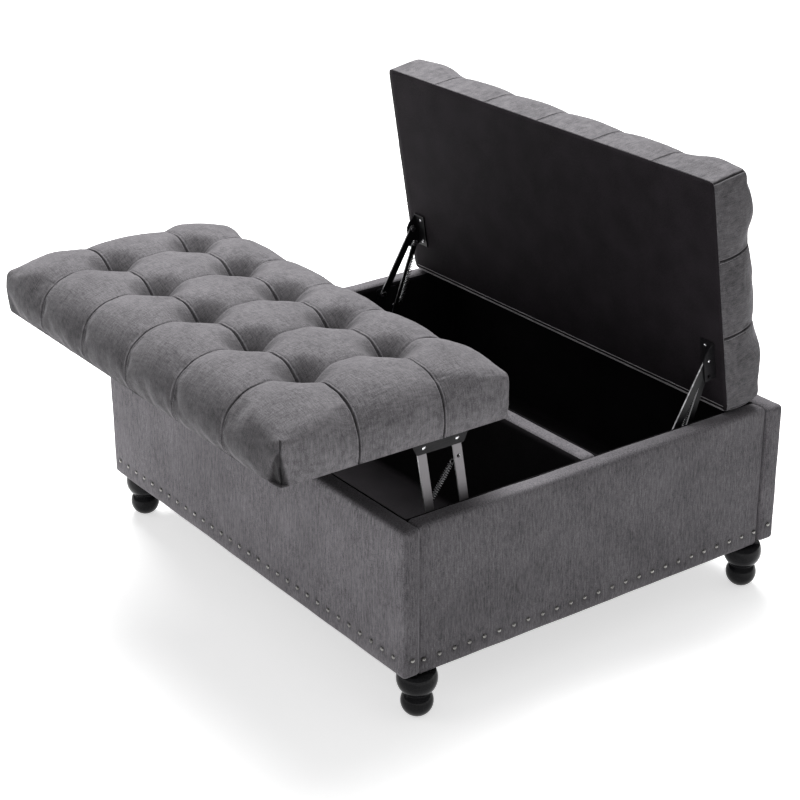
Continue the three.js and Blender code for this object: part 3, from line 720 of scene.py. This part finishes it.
def stitch_seams(pad, obj):
    """Cuts the seams, their top stitches, the corners' lines and pleat, and paints shade into what lies deep: the
    grooves, the stitch lines, the corner lines, the pleat's fold and the tuft pits. It also paints highlights on
    the seam ridges, and light and shade on the walls by which way they face.
    """
    rest = rest_of(obj)
    x, y, z = rest.T
    hx, hy = pad.half
    top, wall_x, wall_y = pad.masks(rest, 1e-4)
    swell = np.zeros(len(rest))
    shade = np.zeros(len(rest))
    light = np.zeros(len(rest))
    over_edge = ramp((np.abs(y) - hy + COLUMN_SEAM["start"]) / COLUMN_SEAM["blend"])
    fold = between(COLUMN_SEAM["top"], COLUMN_SEAM["wall"], over_edge)
    column_set = (x, y + z, pad.column_seams, wall_x, fold)
    row_set = (y, x + z, pad.row_seams, wall_y, 1.0)
    for coordinate, along, seams, off, strength in (column_set, row_set):
        shown = np.where(off | (z < 0.001), 0.0, strength)
        for seam in seams:
            side = coordinate - seam
            stitches = 0.6 + 0.4 * np.sin(2 * math.pi * along / TOP_STITCH["pitch"])
            line = bell(side - TOP_STITCH["offset"], TOP_STITCH["width"]) * stitches * shown
            groove = bell(side, SEAM_GROOVE["width"]) * shown
            for offset in (-SEAM_RIDGE["offset"], SEAM_RIDGE["offset"]):
                ridge = bell(side - offset, SEAM_RIDGE["width"]) * shown
                swell += SEAM_RIDGE["height"] * ridge
                # Painted highlight along the ridge.
                light += SEAM_RIDGE["light"] * ridge
            swell -= SEAM_GROOVE["depth"] * groove + TOP_STITCH["depth"] * line
            # Painted shade in each seam's groove and along its top stitches.
            shade = np.maximum(shade, np.maximum(groove, 0.6 * line))
    corner = pad.to_corner(x, y)
    upright = np.where(top | (z < 0.001), 0.0, 1.0)
    swell -= upright * CORNER_LINE["depth"] * bell(corner, CORNER_LINE["width"])
    # Painted shade along each upright corner.
    shade = np.maximum(shade, upright * CORNER_LINE["shade"] * bell(corner, CORNER_LINE["shade_width"]))
    narrow = 1 - np.minimum(z / CORNER_TUCK["height"], 1) ** 1.6
    on_front = wall_y & (y < 0)
    on_end = wall_x & (x > 0)
    front_spare = CORNER_TUCK["front"] * narrow - (hx - x)
    end_spare = CORNER_TUCK["end"] * narrow - (hy + y)
    spare = np.where(on_front, front_spare, end_spare)
    tuck = np.where(on_front | on_end, upright * pad.tucked, 0) * ramp(spare / CORNER_TUCK["blend"])
    deep_end = 1 - ramp(z / CORNER_TUCK["height"])
    swell -= CORNER_TUCK["depth"] * tuck * deep_end
    # Painted shade in the pleat's fold.
    shade = np.maximum(shade, tuck * (0.85 + 0.13 * deep_end))
    # Painted shade in the tuft pits, deepest at each tuft.
    radius = np.hypot(pad.away(x, pad.column_seams), pad.away(y, pad.row_seams))
    deep = TUFT_SHADE["strength"] * np.clip(1 - radius / TUFT_SHADE["reach"], 0, 1)
    shade = np.maximum(shade, np.where(top, deep, 0))
    tucks = sum(rumple(rest, size, seed) * depth for size, seed, depth in RUMPLES)
    tucks *= between(FACING_RUMPLE, 1, off_facing(pad, y))
    swell += np.where(z < 0.001, 0, tucks)
    set_positions(obj, positions(obj) + normals(obj) * swell[:, None])
    write_values(obj, "seam_shade", shade)
    # Painted light and shade on the walls, fading in from the ends and sides.
    beside_x = ramp((np.abs(x) - hx + PAINTED_LIGHT_REACH) / PAINTED_LIGHT_REACH)
    beside_y = ramp((np.abs(y) - hy + PAINTED_LIGHT_REACH) / PAINTED_LIGHT_REACH)
    lay_painted_light(obj, pad.painted_light[0] * beside_x, pad.painted_light[1] * beside_y, light)


def make_pad(name, rows, turn, facing):
    pad = Pad(name, rows, turn, facing)
    hx, hy = pad.half
    xs = graded([-hx, *pad.column_seams, hx], SEAM_STEPS)
    ys = graded([-hy, *pad.row_seams, hy], SEAM_STEPS)
    zs = graded([0, PAD_WALL], (0, 0.002, 0.006, 0.014, 0.026, 0.038))
    rest, faces = box_surface(xs, ys, zs)
    obj = new_mesh(name + "_tufted_pad", pad_base(pad, rest), faces)
    swollen = positions(obj) + normals(obj) * pad_swell(pad, rest)[:, None]
    set_positions(obj, pad_inset(pad, rest, swollen))
    keep_rest(obj, rest)
    relax(pad, obj, rest)
    subdivide(obj, 2)
    stitch_seams(pad, obj)
    obj.matrix_world = pad.matrix
    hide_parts(name + "_cushion")
    return finish_piece(obj, name, "upholstery", UPHOLSTERY)


def make_underlay(name, turn):
    """The dark cloth under a pad, and beside the lid's a pale hem line, a painted highlight, and the rolled edge
    of the pad's fabric, drawn lighter as painted light.
    """
    low, high = turned_box(name + "_underside", turn)
    middle = Vector((low + high) / 2)
    half = (high - low) / 2
    outer_low, outer_high = turned_box(name + "_cushion", turn)
    half[:2] = ((outer_high - outer_low) / 2)[:2] - UNDERLAY_INSET
    xs = np.linspace(-half[0], half[0], 90)
    ys = np.linspace(-half[1], half[1], 44)
    rest, faces = box_surface(xs, ys, [-half[2], half[2]])
    inward = np.minimum(half[0] - np.abs(rest[:, 0]), half[1] - np.abs(rest[:, 1]))
    over = np.maximum(np.abs(rest[:, :2]) - half[:2] + UNDERLAY_CORNER, 0)
    scale = over.max(1) / np.maximum(np.hypot(*over.T), 1e-9)
    rounded = np.sign(rest[:, :2]) * (half[:2] - UNDERLAY_CORNER + over * scale[:, None])
    rest[:, :2] = np.where(over > 0, rounded, rest[:, :2])
    slack = rumple(rest, 0.11, 9) * 0.0011 * ramp(inward / 0.03)
    rest[:, 2] += np.where(rest[:, 2] < 0, np.abs(slack), 0)
    obj = new_mesh(name + "_under_cloth", rest, faces)
    place = Matrix.Rotation(turn, 4, "X") @ Matrix.Translation(middle)
    obj.matrix_world = place
    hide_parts(name + "_underside")
    finish_piece(obj, name, "lining", UNDERLAY)
    if name == "tray":
        return
    length = 2 * (half[0] - HEM_END)
    # A pale hem line as a painted highlight, and the rolled edge in painted light.
    for part, size in (("rolled_edge", HEM_ROLL), ("hem_highlight_line", HEM_HIGHLIGHT)):
        across = half[1] + UNDERLAY_INSET - size["inset"]
        spot = (0, across, size["rise"] - half[2])
        make_cord(f"{name}_{part}", length, size["radius"], place, spot, name)


def make_cord(name, length, radius, place, spot, body):
    """A rolled or corded edge of upholstery fabric, lying along X, in a lighter copy of the fabric: painted light.
    """
    count = 160
    profile = [(0, -length / 2), (radius * 0.8, -length / 2)]
    for i in range(1, count):
        along = length * (i / count - 0.5)
        wobble = 1 + 0.10 * noise.noise(Vector((along * 60, radius * 900, 0.3)))
        profile.append((radius * wobble, along))
    profile += [(radius * 0.8, length / 2), (0, length / 2)]
    obj = lathe(name, profile, (0, 0, 0), "X", 12)
    obj.matrix_world = place @ Matrix.Translation(spot)
    return finish_piece(obj, body, "upholstery", LIT_PIPING)


# ---- Panels, divider and linings ----


def box_of(node):
    return [np.array(corner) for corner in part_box(node)]


def rounded_box(rest, half, radius, power=2.0):
    over = np.maximum(np.abs(rest) - (half - radius), 0)
    length = (over**power).sum(1) ** (1 / power)
    scale = np.where(length > 0, over.max(1) / np.maximum(length, 1e-9), 1)
    return np.sign(rest) * (np.minimum(np.abs(rest), half - radius) + over * scale[:, None])


def make_panel(node, name, nails, seed, lined):
    """A padded panel with rounded edges, a dimple round every nail, and no puff on the lined faces."""
    low, high = box_of(node)
    middle = (low + high) / 2
    half = (high - low) / 2
    fine = NAIL_PITCH / 5
    edge_steps = (0, 0.002, 0.0045, 0.008, 0.013, 0.020)
    lines = []
    for axis in range(2):
        length = half[axis]
        count = max(2, round(2 * length / fine))
        inner = np.linspace(-length, length, count + 1)
        inner = inner[np.abs(inner) < length - 0.022]
        ends = [length - s for s in edge_steps if s < length * 0.9]
        lines.append(np.unique(np.round(np.concatenate([inner, ends, [-e for e in ends]]), 5)))
    nail_z = nails[0][2] - middle[2] if nails else 0.0
    upright_steps = (*edge_steps, 0.030, 0.045, 0.062, 0.08, 0.1)
    z_lines = graded([-half[2], nail_z, half[2]], upright_steps)
    rest, faces = box_surface(lines[0], lines[1], z_lines)
    obj = new_mesh(name, rounded_box(rest, half, PANEL_ROUND), faces)
    inward = np.sort(half - np.abs(rest), axis=1)[:, 1]
    swell = PANEL_PUFF * ramp(inward / 0.03) + rumple(rest, 0.07, seed) * 0.0009
    for nail in nails:
        away = np.linalg.norm(rest + middle - nail, axis=1)
        swell -= 0.0022 * bell(away, 0.0085)
    outward = normals(obj)
    for direction in lined:
        swell = np.where(outward @ direction > 0.5, np.minimum(swell, 0), swell)
    set_positions(obj, positions(obj) + outward * swell[:, None])
    subdivide(obj, 1)
    shade_nails(obj, [nail - middle for nail in nails])
    # Painted light and shade: end panels drawn darker, front and back lighter.
    lay_painted_light(obj, *PANEL_PAINTED_LIGHT)
    obj.location = middle
    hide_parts(node)
    return finish_piece(obj, "base", "upholstery", PANEL_CLOTH)


def shade_nails(obj, nails):
    """Paints shade into the dimple round each nail."""
    points = positions(obj)
    shade = np.zeros(len(points))
    for nail in nails:
        away = np.linalg.norm(points - nail, axis=1)
        shade = np.maximum(shade, NAIL_SHADE["strength"] * bell(away, NAIL_SHADE["reach"]))
    write_values(obj, "seam_shade", shade)


def panel_nails(node, axis, side):
    """Nail places along one panel's lower edge: axis 0 for the front and back, 1 for the ends."""
    low, high = box_of(node)
    face = 1 - axis
    outward = np.zeros(3)
    outward[face] = side
    start, end = low[axis] + NAIL_MARGIN[axis], high[axis] - NAIL_MARGIN[axis]
    places = []
    for along in np.linspace(start, end, round((end - start) / NAIL_PITCH) + 1):
        place = np.array(high if side > 0 else low)
        place[axis] = along
        place[2] = low[2] + NAIL_HEIGHT[axis]
        places.append((place, outward))
    return places


def end_grain_nails(node):
    """The one nail on each end face of the front and back panels."""
    low, high = box_of(node)
    middle = (low + high) / 2
    middle[2] = low[2] + NAIL_HEIGHT[0]
    places = []
    for side, x in ((-1, low[0]), (1, high[0])):
        places.append((np.array([x, middle[1], middle[2]]), np.array([side, 0, 0])))
    return places


def make_nailheads(places):
    """Every nailhead as a slightly hammered dome, in one piece."""
    mesh = bmesh.new()
    sides = 14
    rings = [(1.0, -0.25), (1.0, 0.06), (0.9, 0.42), (0.66, 0.76), (0.34, 0.95)]
    for number, (place, outward) in enumerate(places):
        turn = Vector((0, 0, 1)).rotation_difference(Vector(outward)).to_matrix()
        spin = number * 1.7
        loops = []
        for radius, height in rings:
            loop = []
            for s in range(sides):
                angle = 2 * math.pi * s / sides + spin
                wobble = 1 + 0.02 * math.sin(3 * angle + number)
                flat = Vector((math.cos(angle), math.sin(angle), 0)) * wobble * radius * NAIL_RADIUS
                flat.z = height * NAIL_DOME
                loop.append(mesh.verts.new(turn @ flat + Vector(place)))
            loops.append(loop)
        peak = mesh.verts.new(turn @ Vector((0, 0, NAIL_DOME)) + Vector(place))
        mesh.faces.new(loops[0][::-1])
        join_rings(mesh, loops)
        for s in range(sides):
            mesh.faces.new((loops[-1][s], loops[-1][(s + 1) % sides], peak))
    obj = object_of("nailheads", mesh)
    shade_smooth(obj.data)
    return finish_piece(obj, "base", "rivet_steel", PEWTER)


def make_panels():
    nails = []
    for node, axis, side, seed in (
        ("front_panel", 0, -1, 11),
        ("back_panel", 0, 1, 12),
        ("left_end_panel", 1, -1, 13),
        ("right_end_panel", 1, 1, 14),
    ):
        own = panel_nails(node, axis, side)
        if axis == 0:
            own += end_grain_nails(node)
        inward = np.zeros(3)
        inward[1 - axis] = -side
        name = node.replace("_panel", "_padded_panel")
        make_panel(node, name, [place for place, _ in own], seed, [inward])
        nails += own
    make_nailheads(nails)
    faces = [np.array([0, -1, 0]), np.array([0, 1, 0])]
    make_panel("divider", "padded_divider", [], 15, faces)


def make_lining(name):
    """A compartment's cloth: floor and four walls of one thin skin, a little slack."""
    low, high = box_of(name + "_lining")
    xs = np.linspace(low[0], high[0], 70)
    ys = np.linspace(low[1], high[1], 34)
    zs = np.linspace(low[2], high[2], 22)
    outer, faces = box_surface(xs, ys, zs)
    middle = (low + high) / 2
    half = (high - low) / 2
    kept = [f for f in faces if not all(outer[i][2] >= high[2] - 1e-6 for i in f)]
    used = sorted({i for f in kept for i in f})
    number = {old: new for new, old in enumerate(used)}
    outer = outer[used]
    kept = [[number[i] for i in f] for f in kept]
    toward = np.zeros_like(outer)
    for axis in range(2):
        offset = outer[:, axis] - middle[axis]
        toward[:, axis] = -np.sign(offset) * (np.abs(np.abs(offset) - half[axis]) < 1e-6)
    toward[:, 2] = np.abs(outer[:, 2] - low[2]) < 1e-6
    edge = (high[2] - outer[:, 2]) / (high[2] - low[2])
    most = np.where(toward[:, 0] != 0, LINING_SLACK["ends"], LINING_SLACK["sides"])
    slack = (0.5 + 0.5 * rumple(outer, 0.12, 21)) * most * ramp(edge * 5)
    inner = outer + toward * (LINING_THICKNESS + slack[:, None])
    count = len(outer)
    walls = [[i + count for i in f[::-1]] for f in kept]
    rim = {}
    for f in kept:
        for a, b in zip(f, f[1:] + f[:1]):
            rim[a, b] = None
    open_edges = [(a, b) for a, b in rim if (b, a) not in rim]
    hem = [[b, a, a + count, b + count] for a, b in open_edges]
    obj = new_mesh(name + "_cloth_lining", np.concatenate([outer, inner]), kept + walls + hem)
    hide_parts(name + "_lining")
    return finish_piece(obj, "base", "lining", LINING)


# ---- Feet ----


def make_foot(node):
    """A ball run into the underside of a bigger one, turned in one piece."""
    low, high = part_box(node)
    centre = (low + high) / 2
    profile = [(0, 0)]
    ball, neck, bulb = FOOT_BALL, FOOT_NECK, FOOT_BULB
    start = -math.asin(ball["height"] / ball["radius"])
    end = math.acos(neck["radius"] / ball["radius"])
    for i in range(21):
        angle = start + (end - start) * i / 20
        height = ball["height"] + ball["radius"] * math.sin(angle)
        profile.append((ball["radius"] * math.cos(angle), max(0, height)))
    profile.append((neck["radius"] * 0.985, neck["height"]))
    lowest = -math.sqrt(1 - (neck["radius"] / bulb["radius"]) ** 2)
    highest = (FOOT_TOP - bulb["height"]) / bulb["half"]
    for i in range(1, 21):
        rise = lowest + (highest - lowest) * i / 20
        radius = bulb["radius"] * math.sqrt(max(0, 1 - rise * rise))
        profile.append((max(radius, neck["radius"]), bulb["height"] + bulb["half"] * rise))
    profile.append((0, FOOT_TOP))
    obj = lathe(node.replace("_foot", "_turned_foot"), profile, (centre.x, centre.y, 0))
    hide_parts(node)
    return finish_piece(obj, "base", "foot_gloss", FOOT_BLACK)


# ---- Steel parts ----


def body_of_node(node):
    return next(b for b, members in frame["record"]["behaviour"]["bodies"].items() if node in members)


def bevel(node, width, *materials):
    """A CAD plate keeps its shape and gets its finish, with a fine bevel; a second finish, where given, goes on
    the bevel, partly as wear and partly as a painted highlight along the edges.
    """
    obj = frame["nodes"][node]
    paint(obj, *materials)
    modifier = obj.modifiers.new("highlit_worn_edge", "BEVEL")
    modifier.width = width
    modifier.segments = 2
    modifier.limit_method = "ANGLE"
    modifier.angle_limit = math.radians(50)
    # The bevel's faces take the second finish: a bright edge, partly painted highlight.
    if len(materials) > 1:
        modifier.material = 1


def make_rivet(node):
    """A rivet with a turned, domed head, in the place of its plain CAD pin."""
    low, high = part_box(node)
    centre = (low + high) / 2
    side = 1 if centre.x > 0 else -1
    radius = (high.y - low.y) / 2
    length = high.x - low.x
    head = 0.0026 if length > 0.009 else 0.0012
    shank = radius * 0.56
    profile = [(0, 0)]
    for i in range(1, 9):
        angle = math.pi / 2 * i / 8
        profile.append((radius * math.sin(angle), head * 0.85 * (1 - math.cos(angle))))
    profile += [(radius, head), (shank, head), (shank, length), (0, length)]
    inner = low.x if side > 0 else high.x
    obj = lathe(node + "_pin", profile, (inner, centre.y, centre.z), "X" if side > 0 else "-X", 28)
    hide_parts(node)
    return finish_piece(obj, body_of_node(node), "rivet_steel", RIVET)


def make_spring(node, start, end, turns):
    """An extension spring with close coils and a hooked loop at each end."""
    low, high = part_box(node)
    centre_x = (low.x + high.x) / 2
    coil = COIL["radius"]
    hook = COIL["hook"]
    per_turn = COIL["per_turn"]
    a = Vector((centre_x, *start))
    b = Vector((centre_x, *end))
    along = (b - a).normalized()
    across = Vector((1, 0, 0))
    beside = along.cross(across)
    length = (b - a).length
    points = []
    hook_angles = [math.pi * 1.5 * i / 8 for i in range(9)]
    for angle in hook_angles[::-1]:
        points.append(a + along * (coil * (1 + math.sin(angle))) + beside * (coil * math.cos(angle)))
    steps = turns * per_turn
    for i in range(steps + 1):
        turn = 2 * math.pi * i / per_turn
        reach = hook + (length - 2 * hook) * i / steps
        around = across * math.sin(turn) + beside * math.cos(turn)
        points.append(a + along * reach + around * coil)
    for angle in hook_angles:
        points.append(b - along * (coil * (1 + math.sin(angle))) + beside * (coil * math.cos(angle)))
    curve = bpy.data.curves.new(node + "_coil", "CURVE")
    curve.dimensions = "3D"
    curve.bevel_depth = COIL["wire"]
    curve.bevel_resolution = 2
    curve.use_fill_caps = True
    spline = curve.splines.new("POLY")
    spline.points.add(len(points) - 1)
    for target, point in zip(spline.points, points):
        target.co = (*point, 1)
    raw = new_object(node + "_curve", curve)
    bpy.context.view_layer.update()
    mesh = bpy.data.meshes.new_from_object(raw.evaluated_get(bpy.context.evaluated_depsgraph_get()))
    bpy.data.objects.remove(raw)
    obj = new_object(node + "_coil", mesh)
    shade_smooth(mesh)
    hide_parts(node)
    return finish_piece(obj, body_of_node(node), "spring_steel", SPRING)


def joint_place(name):
    joint = next(j for j in frame["joints"] if j["name"] == name)
    return Vector(joint["pos_m"][1:])


def make_screw(name, place, direction, body):
    """A pan-head screw with a cross recess."""
    radius = SCREW_RADIUS
    mesh = bmesh.new()
    sides = 24
    height = radius * 0.5
    rings = [(1.0, 0.0), (1.0, 0.25), (0.86, 0.72), (0.6, 0.94)]

    def ring_point(s, share, rise):
        angle = 2 * math.pi * s / sides
        across = radius * share
        return mesh.verts.new((across * math.cos(angle), across * math.sin(angle), height * rise))

    loops = [[ring_point(s, share, rise) for s in range(sides)] for share, rise in rings]
    join_rings(mesh, loops)
    mesh.faces.new(loops[0][::-1])
    floor = []
    for s in range(sides):
        arm = abs(math.cos(4 * math.pi * s / sides)) ** 3
        floor.append(ring_point(s, 0.14 + 0.34 * arm, 0.94))
    deep = [mesh.verts.new((v.co.x * 0.8, v.co.y * 0.8, height * 0.35)) for v in floor]
    join_rings(mesh, [loops[-1], floor, deep])
    mesh.faces.new(deep)
    turn = Vector((0, 0, 1)).rotation_difference(Vector(direction)).to_matrix().to_4x4()
    bmesh.ops.transform(mesh, matrix=Matrix.Translation(place) @ turn, verts=mesh.verts)
    bmesh.ops.recalc_face_normals(mesh, faces=mesh.faces)
    return finish_piece(object_of(name, mesh), body, "rivet_steel", RIVET)


def make_hardware(side):
    """One end's lift arms and hinge: finishes on the CAD strip, finer rivets, springs and screws."""
    inward = Vector((-1 if side == "right" else 1, 0, 0))
    for node in ("lift_front_arm", "lift_rear_arm"):
        bevel(f"{side}_{node}", 0.0004, BRIGHT)
    for node in ("hinge_long_arm", "hinge_short_arm"):
        bevel(f"{side}_{node}", 0.0004, BLACK_ARM)
    for node in ("lift_plate", "tray_rail", "hinge_plate", "lid_bracket"):
        bevel(f"{side}_{node}", 0.0009, BLACK, EDGE)
    for family in ("lift_front", "lift_rear", "hinge_long", "hinge_short"):
        for end in ("lower", "upper"):
            make_rivet(f"{side}_{family}_{end}_rivet")
    make_side_springs(side)
    make_side_screws(side, inward)


def make_side_springs(side):
    front = joint_place("tray_lift")
    rear = joint_place("tray_rear_arm_pivot")
    arm = (joint_place("tray_level") - front).normalized()
    size = LIFT_SPRING
    make_spring(f"{side}_lift_spring", front + arm * size["low"], rear + arm * size["high"], size["turns"])
    low = joint_place("lid_short_arm_pivot")
    box_low, box_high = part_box(f"{side}_hinge_short_upper_rivet")
    high = Vector(((box_low.y + box_high.y) / 2, (box_low.z + box_high.z) / 2))
    size = HINGE_SPRING
    ends = (low.lerp(high, size["low"]), low.lerp(high, size["high"]))
    make_spring(f"{side}_hinge_spring", *ends, size["turns"])


def make_side_screws(side, inward):
    """Screws through the fixed plates, up into the tray board and into the lid board."""
    for node, spots in PLATE_SCREWS.items():
        low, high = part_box(f"{side}_{node}")
        face = high.x - PLATE_THICKNESS if side == "right" else low.x + PLATE_THICKNESS
        for number, (u, v) in enumerate(spots):
            place = Vector((face, between(low.y, high.y, u), between(low.z, high.z, v)))
            make_screw(f"{side}_{node}_screw_{number}", place, inward, "base")
    for body, node, turn, shares in FLANGE_SCREWS:
        low, high = turned_box(f"{side}_{node}", turn)
        middle = high[0] - FLANGE_MIDDLE if side == "right" else low[0] + FLANGE_MIDDLE
        stand = Matrix.Rotation(turn, 3, "X")
        for number, u in enumerate(shares):
            place = Vector((middle, between(low[1], high[1], u), high[2] - FLANGE_THICKNESS))
            down = stand @ Vector((0, 0, -1))
            make_screw(f"{side}_{node}_screw_{number}", stand @ place, down, body)


def finish_hidden_boards():
    for node, obj in frame["nodes"].items():
        if node.endswith(("_board", "corner_block")):
            paint(obj, BOARD)
    paint(frame["nodes"]["dust_cover"], LINING)


# ---- Camera, floor and light ----


def make_camera():
    azimuth, elevation, roll = (math.radians(angle) for angle in CAMERA_ANGLES)
    flat = math.cos(elevation)
    back = Vector((math.sin(azimuth) * flat, -math.cos(azimuth) * flat, math.sin(elevation)))
    data = bpy.data.cameras.new("camera")
    data.lens = CAMERA_LENS
    data.sensor_width = 36
    data.shift_y = CAMERA_SHIFT
    data.clip_end = CAMERA_CLIP
    camera = new_object("camera", data)
    camera.location = CAMERA_PLACE
    camera.rotation_mode = "QUATERNION"
    tilt = Matrix.Rotation(roll, 3, "Z").to_quaternion()
    camera.rotation_quaternion = (-back).to_track_quat("-Z", "Y") @ tilt
    bpy.context.scene.camera = camera


def make_stage():
    r = FLOOR_HALF
    floor = new_mesh("floor", [(-r, -r, 0), (r, -r, 0), (r, r, 0), (-r, r, 0)], [(0, 1, 2, 3)], False)
    paint(floor, paper_white("pale_floor"))


def area_light(name, place, target, size, power):
    data = bpy.data.lights.new(name, "AREA")
    data.shape = "RECTANGLE"
    data.size, data.size_y = size
    data.energy = power
    light = new_object(name, data)
    light.location = place
    light.rotation_mode = "QUATERNION"
    light.rotation_quaternion = (Vector(target) - Vector(place)).to_track_quat("-Z", "Y")


def make_light():
    world = bpy.data.worlds.new("studio")
    world.use_nodes = True
    background = world.node_tree.nodes["Background"]
    background.inputs["Color"].default_value = (1.0, 1.0, 1.0, 1)
    background.inputs["Strength"].default_value = WORLD_LIGHT
    bpy.context.scene.world = world
    for light in LIGHTS:
        area_light(*light)
    bpy.context.scene.view_settings.view_transform = "Standard"
    bpy.context.scene.view_settings.look = "None"


# ---- The bench ----

make_camera()
make_stage()
make_light()
make_pad("tray", TRAY_ROWS, 0.0, 1)
make_pad("lid", LID_ROWS, LID_TURN, -1)
make_underlay("tray", 0.0)
make_underlay("lid", LID_TURN)
make_panels()
for compartment in ("front", "rear"):
    make_lining(compartment)
for foot in [n for n in frame["nodes"] if n.endswith("_foot")]:
    make_foot(foot)
for end in ("left", "right"):
    make_hardware(end)
finish_hidden_boards()
